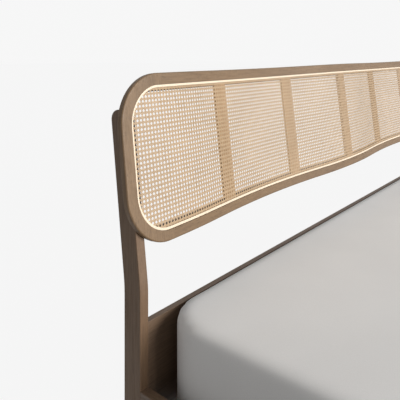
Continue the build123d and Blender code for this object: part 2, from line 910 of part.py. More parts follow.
with BuildPart() as ledge_screws:
    add(
        fasteners(
            ledge_screw_places(-1) + ledge_screw_places(1),
            screw,
            ledge_screw_grip,
            screw_head,
            screw_head_height,
        )
    )
ledge_screws.part.label = "ledge_screws"


# Centre beam, hangers and centre legs
with BuildPart() as centre_beam:
    add(make_beam())
centre_beam.part.label = "centre_beam"

with BuildPart() as head_hanger:
    add(make_hanger(head_rail_front, 1))
head_hanger.part.label = "head_hanger"

with BuildPart() as foot_hanger:
    add(make_hanger(foot_rail_inner, -1))
foot_hanger.part.label = "foot_hanger"

with BuildPart() as hanger_screws:
    add(
        fasteners(
            hanger_screw_places(head_rail_front, 1) + hanger_screw_places(foot_rail_inner, -1),
            screw,
            hanger_screw_grip,
            screw_head,
            screw_head_height,
        )
    )
hanger_screws.part.label = "hanger_screws"

centre_leg_names = ["centre_leg_foot", "centre_leg_middle", "centre_leg_head"]
centre_legs = []
for name, y in zip(centre_leg_names, centre_leg_ys):
    with BuildPart() as centre_leg_piece:
        add(make_centre_leg(y))
    centre_leg_piece.part.label = name
    centre_legs.append(centre_leg_piece.part)

with BuildPart() as centre_leg_screws:
    add(fasteners(leg_screw_places(), leg_screw, leg_screw_grip, leg_screw_head, screw_head_height))
centre_leg_screws.part.label = "centre_leg_screws"


# Slats and their screws
slats = []
for number, y in enumerate(slat_ys, start=1):
    with BuildPart() as slat_piece:
        add(make_slat(y))
    slat_piece.part.label = f"slat_{number:02d}"
    slats.append(slat_piece.part)

with BuildPart() as slat_screws:
    add(fasteners(slat_screw_places(), screw, slat_screw_grip, screw_head, screw_head_height))
slat_screws.part.label = "slat_screws"


# Mattress with a low crown and rounded edges
mattress_base = platform_height + mattress_seat
mattress_middle = (mattress_head + mattress_foot) / 2
crown_radius = (mattress_width / 2) ** 2 / (2 * mattress_crown)

with BuildPart() as mattress:
    with BuildSketch(Plane.XY.offset(mattress_base)) as mattress_plan:
        with Locations((0, mattress_middle)):
            RectangleRounded(mattress_width, mattress_length, mattress_corner)
    extrude(amount=mattress_height)
    with Locations((0, mattress_middle, mattress_base + mattress_height - crown_radius)):
        Sphere(radius=crown_radius, mode=Mode.INTERSECT)
    rims = mattress.edges().filter_by(Axis.Z, reverse=True)
    high = [edge for edge in rims if (edge @ 0.5).Z > mattress_base + mattress_height / 2]
    low = [edge for edge in rims if (edge @ 0.5).Z < mattress_base + mattress_height / 2]
    fillet(high, radius=mattress_edge)
    fillet(low, radius=mattress_base_edge)
mattress.part.label = "mattress"


# Write every piece
pieces = [
    headboard_top_rail.part,
    headboard_bottom_rail.part,
    headboard_left_end.part,
    headboard_right_end.part,
    headboard_dowels.part,
    cane_webbing.part,
    cane_bead.part,
    *battens,
    batten_screws.part,
    left_head_post.part,
    right_head_post.part,
    left_foot_leg.part,
    right_foot_leg.part,
    glides.part,
    headboard_bolts.part,
    headboard_inserts.part,
    head_rail.part,
    foot_rail.part,
    left_side_rail.part,
    right_side_rail.part,
    side_rail_bolts.part,
    cross_rail_bolts.part,
    side_rail_barrels.part,
    cross_rail_barrels.part,
    left_ledge.part,
    right_ledge.part,
    ledge_screws.part,
    centre_beam.part,
    head_hanger.part,
    foot_hanger.part,
    hanger_screws.part,
    *centre_legs,
    centre_leg_screws.part,
    *slats,
    slat_screws.part,
    mattress.part,
]

os.makedirs("parts", exist_ok=True)
for piece in pieces:
    export_step(piece, f"parts/{piece.label}.step")
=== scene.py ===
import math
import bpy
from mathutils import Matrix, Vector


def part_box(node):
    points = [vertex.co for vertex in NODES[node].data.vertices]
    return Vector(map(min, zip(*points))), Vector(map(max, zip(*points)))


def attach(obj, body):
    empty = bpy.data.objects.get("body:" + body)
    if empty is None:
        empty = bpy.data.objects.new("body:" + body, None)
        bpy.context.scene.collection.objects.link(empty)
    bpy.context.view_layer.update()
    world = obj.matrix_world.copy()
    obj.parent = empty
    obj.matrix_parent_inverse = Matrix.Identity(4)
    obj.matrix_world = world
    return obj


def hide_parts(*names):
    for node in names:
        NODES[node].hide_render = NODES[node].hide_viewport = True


bl_info = {
    "name": "Cane Bed",
    "version": (1, 0, 0),
    "blender": (4, 5, 0),
    "location": "View3D > Sidebar > Cane Bed",
    "description": "Dresses the cane bed in wood, woven cane and linen, and sets its studio",
    "category": "Object",
}

import bmesh
import bpy
from mathutils import Vector

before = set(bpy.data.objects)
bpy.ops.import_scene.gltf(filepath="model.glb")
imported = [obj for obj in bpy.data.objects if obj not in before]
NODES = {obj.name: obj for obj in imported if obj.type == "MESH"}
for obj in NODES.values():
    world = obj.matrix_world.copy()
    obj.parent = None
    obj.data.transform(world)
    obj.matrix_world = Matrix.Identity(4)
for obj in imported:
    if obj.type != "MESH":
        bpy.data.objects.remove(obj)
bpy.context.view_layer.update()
FRAME_BODY = "bed_frame"
MATTRESS_BODY = "mattress_body"
BOARD_RAILS = ["headboard_top_rail", "headboard_bottom_rail"]
BOARD_ENDS = ["headboard_left_end", "headboard_right_end"]
BATTENS = ["batten_far_left", "batten_left", "batten_centre", "batten_right", "batten_far_right"]
SLATS = [f"slat_{number:02d}" for number in range(1, 14)]


# Sizes and colours that a user would change
class CaneBedHeadboard(bpy.types.PropertyGroup):
    """Sizes of the bent headboard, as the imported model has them."""

    lean: bpy.props.FloatProperty(
        name="Lean", description="Angle between the headboard and upright",
        default=math.radians(7.02), subtype="ANGLE",
    )
    foot: bpy.props.FloatProperty(
        name="Bend height", description="Height where the posts bend",
        default=0.541, unit="LENGTH",
    )
    front: bpy.props.FloatProperty(
        name="Post front", description="Distance of the posts' front face from the middle",
        default=0.96973, unit="LENGTH",
    )
    low: bpy.props.FloatProperty(
        name="Lower edge", description="Distance from the bend up to the board's lower edge",
        default=0.0805, unit="LENGTH",
    )
    height: bpy.props.FloatProperty(
        name="Board height", description="Height of the board along its lean",
        default=0.374, unit="LENGTH",
    )
    width: bpy.props.FloatProperty(
        name="Board width", description="Width of the board",
        default=2.168, unit="LENGTH",
    )
    side_member: bpy.props.FloatProperty(
        name="End width", description="Width of the frame at its ends",
        default=0.028, unit="LENGTH",
    )
    top_member: bpy.props.FloatProperty(
        name="Top width", description="Width of the frame's top member",
        default=0.0269, unit="LENGTH",
    )
    bottom_member: bpy.props.FloatProperty(
        name="Bottom width", description="Width of the frame's bottom member",
        default=0.0236, unit="LENGTH",
    )
    rebate_corner: bpy.props.FloatProperty(
        name="Inner radius", description="Radius of the corners round the cane",
        default=0.090, unit="LENGTH",
    )
    rebate_floor: bpy.props.FloatProperty(
        name="Rebate floor", description="Depth of the lip's face from the frame's back, negative in front",
        default=-0.0078, unit="LENGTH",
    )
    hollow_reach: bpy.props.FloatProperty(
        name="Hollow reach", description="Distance from the middle to the deepest line of each hollow",
        default=0.496, unit="LENGTH",
    )
    hollow_share: bpy.props.FloatProperty(
        name="Hollow share", description="Share of each wave that curves as a hollow",
        default=0.555,
    )
    wave_angle: bpy.props.FloatProperty(
        name="Wave angle", description="Steepest angle of the wave",
        default=math.radians(6.93), subtype="ANGLE",
    )


class CaneBedCane(bpy.types.PropertyGroup):
    """Sizes and colours of the woven cane."""

    pitch: bpy.props.FloatProperty(
        name="Pitch", description="Distance between neighbouring pairs of strands",
        default=0.01016, unit="LENGTH",
    )
    strand: bpy.props.FloatProperty(
        name="Strand width", description="Width of an upright or level strand",
        default=0.0018, unit="LENGTH",
    )
    slant: bpy.props.FloatProperty(
        name="Slanted strand width", description="Width of a slanted strand",
        default=0.0018, unit="LENGTH",
    )
    pair: bpy.props.FloatProperty(
        name="Pair spacing", description="Distance between the two strands of a pair",
        default=0.0021, unit="LENGTH",
    )
    thickness: bpy.props.FloatProperty(
        name="Strand thickness", description="Thickness of a strand",
        default=0.0004, unit="LENGTH",
    )
    depth: bpy.props.FloatProperty(
        name="Depth", description="Depth of the weave's middle from the frame's back, negative in front",
        default=-0.0086, unit="LENGTH",
    )
    inset: bpy.props.FloatProperty(
        name="Edge inset", description="Distance of the weave's edge from the frame's members",
        default=0.003, unit="LENGTH",
    )
    colour: bpy.props.FloatVectorProperty(
        name="Cane colour", description="Colour of the cane's skin",
        default=(0.370, 0.262, 0.160), subtype="COLOR", size=3,
    )


class CaneBedWood(bpy.types.PropertyGroup):
    """Colours of the woods."""

    board: bpy.props.FloatVectorProperty(
        name="Headboard", description="Colour of the headboard's frame",
        default=(0.150, 0.093, 0.048), subtype="COLOR", size=3,
    )
    post: bpy.props.FloatVectorProperty(
        name="Posts", description="Colour of the posts and legs",
        default=(0.118, 0.070, 0.038), subtype="COLOR", size=3,
    )
    rail: bpy.props.FloatVectorProperty(
        name="Rails", description="Colour of the rails",
        default=(0.122, 0.077, 0.047), subtype="COLOR", size=3,
    )
    bead: bpy.props.FloatVectorProperty(
        name="Bead", description="Colour of the bead round the cane",
        default=(0.62, 0.51, 0.385), subtype="COLOR", size=3,
    )
    plain: bpy.props.FloatVectorProperty(
        name="Plain wood", description="Colour of the battens, slats and beam",
        default=(0.300, 0.178, 0.084), subtype="COLOR", size=3,
    )


class CaneBedMattress(bpy.types.PropertyGroup):
    """Sizes and colour of the mattress in its fitted sheet."""

    corner: bpy.props.FloatProperty(
        name="Corner radius", description="Radius of the mattress's corners in plan",
        default=0.112, unit="LENGTH",
    )
    edge: bpy.props.FloatProperty(
        name="Edge radius", description="Radius of the mattress's upper edges",
        default=0.014, unit="LENGTH",
    )
    crown: bpy.props.FloatProperty(
        name="Crown", description="How far the top rises to its middle",
        default=0.003, unit="LENGTH",
    )
    spare: bpy.props.FloatProperty(
        name="Spare", description="How far outside the packed mattress each side starts",
        default=0.003, unit="LENGTH",
    )
    swell: bpy.props.FloatProperty(
        name="Swell", description="The farthest that the stuffing may push a point",
        default=0.004, unit="LENGTH",
    )
    sheet: bpy.props.FloatVectorProperty(
        name="Sheet", description="Colour of the fitted sheet",
        default=(0.775, 0.765, 0.75), subtype="COLOR", size=3,
    )


class CaneBedStage(bpy.types.PropertyGroup):
    """The studio's camera and colours."""

    camera: bpy.props.FloatVectorProperty(
        name="Camera", description="Where the camera stands",
        default=(-1.7652, 0.2024, 1.0456), subtype="XYZ", size=3,
    )
    turn: bpy.props.FloatProperty(
        name="Turn", description="The camera's heading, clockwise from the headboard",
        default=math.radians(49.10), subtype="ANGLE",
    )
    lens: bpy.props.FloatProperty(
        name="Lens", description="Focal length on a sensor 36 mm wide",
        default=44.66, unit="CAMERA",
    )
    backdrop: bpy.props.FloatVectorProperty(
        name="Backdrop", description="Colour of the backdrop",
        default=(0.926, 0.926, 0.926), subtype="COLOR", size=3,
    )


GROUPS = {
    "cane_bed_headboard": CaneBedHeadboard,
    "cane_bed_cane": CaneBedCane,
    "cane_bed_wood": CaneBedWood,
    "cane_bed_mattress": CaneBedMattress,
    "cane_bed_stage": CaneBedStage,
}


# Material helpers
def new_material(name):
    """Make an empty node material and return it with its node tree and shader."""
    material = bpy.data.materials.new(name)
    material.use_nodes = True
    tree = material.node_tree
    shader = tree.nodes["Principled BSDF"]
    return material, tree, shader


def shade(colour, factor):
    """Return a colour made darker or lighter, with its alpha."""
    return (*[min(1.0, c * factor) for c in colour], 1.0)


def grey(value):
    """Return a grey with its alpha."""
    return (value, value, value, 1.0)


def object_coords(tree, scale):
    """Add object coordinates stretched by a scale."""
    coords = tree.nodes.new("ShaderNodeTexCoord")
    mapping = tree.nodes.new("ShaderNodeMapping")
    mapping.inputs["Scale"].default_value = scale
    tree.links.new(coords.outputs["Object"], mapping.inputs["Vector"])
    return mapping.outputs["Vector"]


def ramp(tree, source, stops):
    """Add a colour ramp over a value."""
    made = tree.nodes.new("ShaderNodeValToRGB")
    tree.links.new(source, made.inputs["Fac"])
    elements = made.color_ramp.elements
    while len(elements) < len(stops):
        elements.new(0.5)
    for element, (place, colour) in zip(elements, stops):
        element.position = place
        element.color = colour
    return made.outputs["Color"]


def noise(tree, vector, scale, detail=4.0, rough=0.5, distortion=0.0):
    """Add a noise texture."""
    made = tree.nodes.new("ShaderNodeTexNoise")
    made.inputs["Scale"].default_value = scale
    made.inputs["Detail"].default_value = detail
    made.inputs["Roughness"].default_value = rough
    made.inputs["Distortion"].default_value = distortion
    tree.links.new(vector, made.inputs["Vector"])
    return made.outputs["Fac"]


def multiply(tree, first, second, factor=1.0):
    """Multiply two colours."""
    made = tree.nodes.new("ShaderNodeMix")
    made.data_type = "RGBA"
    made.blend_type = "MULTIPLY"
    made.inputs["Factor"].default_value = factor
    tree.links.new(first, made.inputs["A"])
    tree.links.new(second, made.inputs["B"])
    return made.outputs["Result"]


def bump(tree, height, shader, strength, distance):
    """Add a bump to a shader."""
    made = tree.nodes.new("ShaderNodeBump")
    made.inputs["Strength"].default_value = strength
    made.inputs["Distance"].default_value = distance
    tree.links.new(height, made.inputs["Height"])
    tree.links.new(made.outputs["Normal"], shader.inputs["Normal"])


# How often a pattern of wood repeats in a metre, along the grain and across it
FIGURE_GRAIN = (1.2, 26.0)
STREAK_GRAIN = (9.0, 210.0)
PORE_GRAIN = (34.0, 900.0)
# How often the marks of turned metal repeat in a metre
TURNING_MARKS = 900.0


def grain_noise(tree, axis, grain, detail, rough, distortion=0.0):
    """Add a noise texture that is stretched along one axis."""
    along, across = grain
    scale = tuple(along if letter == axis else across for letter in "XYZ")
    return noise(tree, object_coords(tree, scale), 1.0, detail, rough, distortion)


def wood_material(name, colour, axis, rough=0.5, pores=0.4, figure=0.14):
    """Make oiled wood whose figure and pores run along one axis."""
    material, tree, shader = new_material(name)
    broad = grain_noise(tree, axis, FIGURE_GRAIN, 6.0, 0.6, 0.4)
    fine = grain_noise(tree, axis, STREAK_GRAIN, 3.0, 0.6)
    dashes = grain_noise(tree, axis, PORE_GRAIN, 2.0, 0.5)
    bands = ramp(tree, broad, [
        (0.30, shade(colour, 1 - figure)),
        (0.52, shade(colour, 1.0)),
        (0.72, shade(colour, 1 + figure)),
    ])
    streaks = ramp(tree, fine, [(0.36, (0.84, 0.82, 0.80, 1.0)), (0.55, grey(1.0))])
    holes = ramp(tree, dashes, [(0.33, grey(1.0 - pores)), (0.42, grey(1.0))])
    blended = multiply(tree, multiply(tree, bands, streaks), holes)
    tree.links.new(blended, shader.inputs["Base Color"])
    dull = ramp(tree, fine, [(0.3, grey(rough + 0.12)), (0.7, grey(rough - 0.06))])
    tree.links.new(dull, shader.inputs["Roughness"])
    shader.inputs["Specular IOR Level"].default_value = 0.35
    bump(tree, holes, shader, strength=0.35, distance=0.0004)
    return material


def metal_material(name, colour, rough):
    """Make plated or plain metal with fine turning marks."""
    material, tree, shader = new_material(name)
    marks = noise(tree, object_coords(tree, (TURNING_MARKS,) * 3), 1.0, 2.0)
    tint = ramp(tree, marks, [(0.3, shade(colour, 0.85)), (0.7, shade(colour, 1.1))])
    tree.links.new(tint, shader.inputs["Base Color"])
    shader.inputs["Metallic"].default_value = 1.0
    dull = ramp(tree, marks, [(0.3, grey(rough - 0.05)), (0.7, grey(rough + 0.08))])
    tree.links.new(dull, shader.inputs["Roughness"])
    bump(tree, marks, shader, strength=0.1, distance=0.0001)
    return material


def coated_material(name, colour, rough, size):
    """Make a plastic or powder coat with a fine orange-peel."""
    material, tree, shader = new_material(name)
    peel = noise(tree, object_coords(tree, (size, size, size)), 1.0, 3.0)
    tint = ramp(tree, peel, [(0.3, shade(colour, 0.88)), (0.7, shade(colour, 1.12))])
    tree.links.new(tint, shader.inputs["Base Color"])
    shader.inputs["Roughness"].default_value = rough
    bump(tree, peel, shader, strength=0.2, distance=0.0002)
    return material


def paint(names, material):
    """Give CAD nodes a material."""
    for name in names:
        mesh = NODES[name].data
        mesh.materials.clear()
        mesh.materials.append(material)


# Modelling helpers
def start_clean():
    """Leave nothing selected before a piece is modelled."""
    if bpy.context.object and bpy.context.object.mode != "OBJECT":
        bpy.ops.object.mode_set(mode="OBJECT")
    bpy.ops.object.select_all(action="DESELECT")


def finish_piece(piece, name, body, material):
    """Name a piece, give it its material, and let it ride on a body."""
    piece.name = name
    piece.data.name = name
    piece.data.materials.clear()
    piece.data.materials.append(material)
    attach(piece, body)
    return piece


def wave_shape():
    """Return the reach of the hollows, the wave's steepest angle, and the radii of hollow and crest."""
    sizes = bpy.context.scene.cane_bed_headboard
    reach = sizes.hollow_reach
    steep = math.sin(sizes.wave_angle)
    hollow = reach * sizes.hollow_share / steep
    crest = reach * (1 - sizes.hollow_share) / steep
    return reach, sizes.wave_angle, hollow, crest


def wave_at(x):
    """Return how far back the headboard's plan curve lies at x."""
    reach, angle, hollow, crest = wave_shape()
    if abs(x) >= 2 * reach:
        return 0.0
    off_hollow = abs(abs(x) - reach)
    if off_hollow <= hollow * math.sin(angle):
        depth = (hollow + crest) * (1 - math.cos(angle))
        return depth - hollow * (1 - math.cos(math.asin(off_hollow / hollow)))
    off_crest = reach - off_hollow
    return crest * (1 - math.cos(math.asin(off_crest / crest)))


def on_board(x, depth, height):
    """Return the place on the leaning headboard of a width, a depth and a height."""
    sizes = bpy.context.scene.cane_bed_headboard
    back = depth + wave_at(x)
    return Vector((
        x,
        sizes.front + back * math.cos(sizes.lean) + height * math.sin(sizes.lean),
        sizes.foot - back * math.sin(sizes.lean) + height * math.cos(sizes.lean),
    ))


def board_limits(inset):
    """Return the half width, low edge, high edge and corner radius inside the members, drawn in."""
    sizes = bpy.context.scene.cane_bed_headboard
    return (
        sizes.width / 2 - sizes.side_member - inset,
        sizes.low + sizes.bottom_member + inset,
        sizes.low + sizes.height - sizes.top_member - inset,
        sizes.rebate_corner - inset,
    )


def inside_outline(x, z, limits):
    """Tell whether a spot lies inside a rounded outline."""
    half, low, high, corner = limits
    over_x = abs(x) - (half - corner)
    over_z = max(low + corner - z, z - (high - corner))
    if over_x <= 0 or over_z <= 0:
        return abs(x) <= half and low <= z <= high
    return over_x * over_x + over_z * over_z <= corner * corner


def along_curve(length):
    """Return x at a length along the plan curve, measured from the middle of the bed."""
    reach, angle, hollow, crest = wave_shape()
    crest_run = crest * angle
    hollow_run = hollow * angle
    run = abs(length)
    wave = 2 * (crest_run + hollow_run)
    if run <= crest_run:
        x = crest * math.sin(run / crest)
    elif run <= crest_run + 2 * hollow_run:
        x = reach + hollow * math.sin((run - crest_run - hollow_run) / hollow)
    elif run <= wave:
        x = 2 * reach - crest * math.sin((wave - run) / crest)
    else:
        x = 2 * reach + run - wave
    return math.copysign(x, length)


# Woven cane
# One crossing of an upright and a level pair: length along the curve, and height above the bend
CANE_START = -1.0201
CANE_ROW = 0.2863
# Lengths along the curve of the battens' middles, where the bays meet
BATTEN_LINES = (-0.7129, -0.3560, 0.0, 0.3560, 0.7129)
# How far the outer bays reach past the outline that cuts them
BAY_SPARE = 0.01
# Depths from the weave's middle: of a layer, of a strand's sway in it, and of the slanted strands' sway
LAYER = 0.00021
SWAY = 0.00006
SLANT_SWAY = 0.00012
# How far from a crossing a slanted strand changes sides, in half pitches
SLANT_TURN = 0.3
# Width of a strand's inner face, as a share of its skin's
STRAND_TAPER = 0.62
# Steepest fold between two faces that still shades smooth
SMOOTH_ANGLE = math.radians(50)
ROUNDING = 1e-9


class Weave:
    """Collects strands of cane for one bay of the headboard."""

    def __init__(self, left, right):
        self.left = left
        self.right = right
        self.limits = board_limits(bpy.context.scene.cane_bed_cane.inset)
        self.corners = []
        self.faces = []

    def clip(self, path):
        """Cut a path of width, height and depth at the bay's sides and the outline, into whole runs."""
        runs, run = [], []
        for spot in path:
            inside = inside_outline(along_curve(spot[0]), spot[1], self.limits)
            if inside and self.left - ROUNDING <= spot[0] <= self.right + ROUNDING:
                run.append(spot)
            else:
                if len(run) > 1:
                    runs.append(run)
                run = []
        if len(run) > 1:
            runs.append(run)
        return runs

    def add(self, path, across, width):
        """Lay a flat strand with a narrower face along a path."""
        cane = bpy.context.scene.cane_bed_cane
        half, thick = width / 2, cane.thickness / 2
        shape = [(-1.0, thick), (1.0, thick), (STRAND_TAPER, -thick), (-STRAND_TAPER, -thick)]
        for run in self.clip(path):
            first = len(self.corners)
            for s, z, d in run:
                for side, rise in shape:
                    x = along_curve(s + across[0] * side * half)
                    self.corners.append(on_board(x, cane.depth + d + rise, z + across[1] * side * half))
            for step in range(len(run) - 1):
                low = first + 4 * step
                for k in range(4):
                    n = (k + 1) % 4
                    self.faces.append((low + k, low + n, low + 4 + n, low + 4 + k))
            last = len(self.corners) - 4
            self.faces.append((first + 3, first + 2, first + 1, first))
            self.faces.append((last, last + 1, last + 2, last + 3))


def lay_upright(weave, rows, columns):
    """Lay the upright pairs in the layer at the back."""
    cane = bpy.context.scene.cane_bed_cane
    for column in columns:
        for shift in (-cane.pair / 2, cane.pair / 2):
            s = CANE_START + column * cane.pitch + shift
            path = []
            for row in rows:
                path.append((s, CANE_ROW + row * cane.pitch, LAYER + SWAY))
                path.append((s, CANE_ROW + (row + 0.5) * cane.pitch, LAYER - SWAY))
            weave.add(path, (1.0, 0.0), cane.strand)


def lay_level(weave, rows, columns):
    """Lay the level pairs in the layer at the front."""
    cane = bpy.context.scene.cane_bed_cane
    for row in rows:
        for shift in (-cane.pair / 2, cane.pair / 2):
            z = CANE_ROW + row * cane.pitch + shift
            path = [(weave.left, z, -LAYER)]
            for column in columns:
                for part, depth in ((0.0, -LAYER - SWAY), (0.5, -LAYER + SWAY)):
                    s = CANE_START + (column + part) * cane.pitch
                    if weave.left < s < weave.right:
                        path.append((s, z, depth))
            path.append((weave.right, z, -LAYER))
            weave.add(path, (0.0, 1.0), cane.strand)


def lay_slanted(weave, rows, columns):
    """Lay both slanted families, which pass behind one pair and in front of the next."""
    cane = bpy.context.scene.cane_bed_cane
    count = len(rows)
    slope = math.sqrt(0.5)
    for direction in (1, -1):
        for column in range(columns[0] - count - 1, columns[-1] + count + 2):
            path = []
            for step in range(2 * count + 1):
                over_upright = step % 2 == 1
                side = -1.0 if over_upright == (direction > 0) else 1.0
                for part in (-SLANT_TURN, SLANT_TURN):
                    along = (step + part) * 0.5
                    s = CANE_START + (column + 0.5 + along) * cane.pitch
                    row = along if direction > 0 else count - along
                    z = CANE_ROW + (rows[0] + row) * cane.pitch
                    path.append((s, z, side * (LAYER + SLANT_SWAY)))
            weave.add(path, (slope, -direction * slope), cane.slant)


def lay_bay(left, right):
    """Weave one bay: pairs upright and level, and two slanted strands through each square."""
    pitch = bpy.context.scene.cane_bed_cane.pitch
    weave = Weave(left, right)
    _, low, high, _ = weave.limits
    rows = range(math.floor((low - CANE_ROW) / pitch) - 1, math.ceil((high - CANE_ROW) / pitch) + 2)
    first = math.floor((left - CANE_START) / pitch)
    last = math.ceil((right - CANE_START) / pitch)
    columns = range(first, last + 1)
    lay_upright(weave, rows, columns)
    lay_level(weave, rows, columns)
    lay_slanted(weave, rows, columns)
    return weave


def cane_material():
    """Make peeled cane: pale, a little glossy, with honey patches and fine lengthwise lines."""
    cane = bpy.context.scene.cane_bed_cane
    material, tree, shader = new_material("Woven cane")
    colour = tuple(cane.colour)
    patches = noise(tree, object_coords(tree, (7.0, 7.0, 7.0)), 1.0, 3.0)
    strands = noise(tree, object_coords(tree, (160.0, 40.0, 160.0)), 1.0, 3.0, 0.6)
    tone = ramp(tree, patches, [(0.3, shade(colour, 0.94)), (0.7, shade(colour, 1.05))])
    flecks = ramp(tree, strands, [
        (0.30, (0.80, 0.77, 0.72, 1.0)), (0.5, (0.97, 0.96, 0.95, 1.0)), (0.7, grey(1.0)),
    ])
    tree.links.new(multiply(tree, tone, flecks), shader.inputs["Base Color"])
    shader.inputs["Roughness"].default_value = 0.42
    shader.inputs["Specular IOR Level"].default_value = 0.4
    bump(tree, strands, shader, 0.15, 0.0002)
    return material


class CANEBED_OT_weave(bpy.types.Operator):
    """Weave the cane between the battens of the headboard"""

    bl_idname = "cane_bed.weave"
    bl_label = "Weave the cane"

    def execute(self, context):
        cane = context.scene.cane_bed_cane
        material = cane_material()
        edge = board_limits(cane.inset)[0] + BAY_SPARE
        lines = [-edge, *BATTEN_LINES, edge]
        for number, (left, right) in enumerate(zip(lines, lines[1:]), start=1):
            weave = lay_bay(left, right)
            mesh = bpy.data.meshes.new("cane_bay")
            mesh.from_pydata(weave.corners, [], weave.faces)
            mesh.update()
            piece = bpy.data.objects.new("cane_bay", mesh)
            context.scene.collection.objects.link(piece)
            start_clean()
            piece.select_set(True)
            context.view_layer.objects.active = piece
            bpy.ops.object.mode_set(mode="EDIT")
            bpy.ops.mesh.select_all(action="SELECT")
            bpy.ops.mesh.normals_make_consistent(inside=False)
            bpy.ops.object.mode_set(mode="OBJECT")
            bpy.ops.object.shade_smooth_by_angle(angle=SMOOTH_ANGLE)
            finish_piece(piece, f"cane_bay_{number}", FRAME_BODY, material)
            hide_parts("cane_webbing")
        return {"FINISHED"}


# Wood pieces
# Painted shade: a near-black wood colour for the lip behind the cane, standing in for the shadow in the
# rebate seen through the weave's holes
LIP_PAINTED_SHADE = (0.035, 0.022, 0.014)
# How far a face of the lip may lie from the rebate's floor
LIP_TOLERANCE = 0.0006
# A face's normal has at least this share along a direction to count as facing it
FACING = 0.9


class CANEBED_OT_headboard(bpy.types.Operator):
    """Finish the headboard's frame, its bead and its battens"""

    bl_idname = "cane_bed.headboard"
    bl_label = "Finish the headboard"

    def execute(self, context):
        wood = context.scene.cane_bed_wood
        across = wood_material("Headboard wood, level grain", tuple(wood.board), "X")
        upright = wood_material("Headboard wood, upright grain", tuple(wood.board), "Z")
        paint(BOARD_RAILS, across)
        paint(BOARD_ENDS, upright)
        # Painted shade on the lip behind the cane, where the weave's holes show the rebate in shadow
        paint_lip_shade(wood_material("Painted shade on the lip behind the cane", LIP_PAINTED_SHADE, "X", 0.8))
        paint(["cane_bead"], reed_material(tuple(wood.bead)))
        paint(BATTENS, wood_material("Batten wood", tuple(wood.plain), "Z", 0.55, 0.25))
        # Painted light: the battens' sideways faces get the wood 2.2 times paler, standing in for light on
        # faces that stay in shade
        paint_light_on_batten_sides(wood_material("Batten side, painted light", shade(wood.plain, 2.2)[:3], "Z", 0.6, 0.2))
        dowel = wood_material("Dowel wood", shade(wood.plain, 1.1)[:3], "X", 0.6, 0.2)
        paint(["headboard_dowels"], dowel)
        return {"FINISHED"}


def paint_light_on_batten_sides(material):
    """Paint light on the battens' sideways faces: a paler copy of the batten wood stands in for light on
    faces that stay in shade.
    """
    for name in BATTENS:
        mesh = NODES[name].data
        mesh.materials.append(material)
        for face in mesh.polygons:
            # Faces turned sideways get the painted light
            if abs(face.normal.x) > FACING:
                face.material_index = 1


def paint_lip_shade(material):
    """Paint shade on the lip behind the cane: a near-black copy of the wood stands in for the shadow in the
    rebate that shows through the weave.
    """
    sizes = bpy.context.scene.cane_bed_headboard
    backward = Vector((0.0, math.cos(sizes.lean), -math.sin(sizes.lean)))
    origin = Vector((0.0, sizes.front, sizes.foot))
    for name in BOARD_RAILS + BOARD_ENDS:
        mesh = NODES[name].data
        mesh.materials.append(material)
        for face in mesh.polygons:
            depth = (face.center - origin).dot(backward) - wave_at(face.center.x)
            if abs(depth - sizes.rebate_floor) < LIP_TOLERANCE and face.normal.dot(backward) < -FACING:
                face.material_index = 1


def reed_material(colour):
    """Make the pale reed of the bead, with soft lengthwise fibres."""
    material, tree, shader = new_material("Pale reed bead")
    fibres = noise(tree, object_coords(tree, (240.0, 240.0, 240.0)), 1.0, 3.0)
    tint = ramp(tree, fibres, [(0.3, shade(colour, 0.9)), (0.6, shade(colour, 1.05))])
    tree.links.new(tint, shader.inputs["Base Color"])
    shader.inputs["Roughness"].default_value = 0.4
    bump(tree, fibres, shader, 0.15, 0.0002)
    return material


class CANEBED_OT_posts(bpy.types.Operator):
    """Finish the posts, the legs and the rails"""

    bl_idname = "cane_bed.posts"
    bl_label = "Finish the posts and rails"

    def execute(self, context):
        wood = context.scene.cane_bed_wood
        paint(
            ["left_head_post", "right_head_post", "left_foot_leg", "right_foot_leg"],
            wood_material("Post wood", tuple(wood.post), "Z"),
        )
        paint(["head_rail", "foot_rail"], wood_material("Cross rail wood", tuple(wood.rail), "X"))
        along = wood_material("Side rail wood", tuple(wood.rail), "Y")
        paint(["left_side_rail", "right_side_rail"], along)
        return {"FINISHED"}


class CANEBED_OT_base(bpy.types.Operator):
    """Finish the slats, ledges, centre beam and its legs"""

    bl_idname = "cane_bed.base"
    bl_label = "Finish the base"

    def execute(self, context):
        wood = context.scene.cane_bed_wood
        plain = tuple(wood.plain)
        paint(SLATS, wood_material("Slat wood", shade(plain, 1.12)[:3], "X", 0.55, 0.2))
        paint(
            ["left_ledge", "right_ledge", "centre_beam"],
            wood_material("Ledge wood", plain, "Y", 0.6, 0.25),
        )
        paint(
            ["centre_leg_foot", "centre_leg_middle", "centre_leg_head"],
            wood_material("Centre leg wood", plain, "Z", 0.6, 0.25),
        )
        return {"FINISHED"}


class CANEBED_OT_fittings(bpy.types.Operator):
    """Finish the screws, bolts, barrel nuts, inserts, hangers and glides"""

    bl_idname = "cane_bed.fittings"
    bl_label = "Finish the fittings"

    def execute(self, context):
        paint(
            ["batten_screws", "ledge_screws", "slat_screws", "hanger_screws", "centre_leg_screws"],
            metal_material("Zinc screws", (0.60, 0.60, 0.58), 0.35),
        )
        paint(
            ["headboard_bolts", "side_rail_bolts", "cross_rail_bolts",
             "side_rail_barrels", "cross_rail_barrels"],
            metal_material("Plain steel", (0.42, 0.42, 0.43), 0.38),
        )
        paint(["headboard_inserts"], metal_material("Brass", (0.70, 0.50, 0.22), 0.3))
        coat = coated_material("Black coat", (0.03, 0.03, 0.03), 0.5, 900.0)
        paint(["head_hanger", "foot_hanger"], coat)
        paint(["glides"], coated_material("Black nylon", (0.02, 0.02, 0.02), 0.45, 700.0))
        return {"FINISHED"}


# Mattress
# How often the threads and the shading of the sheet repeat in a metre
THREADS = 900.0
CLOUDS = 3.0
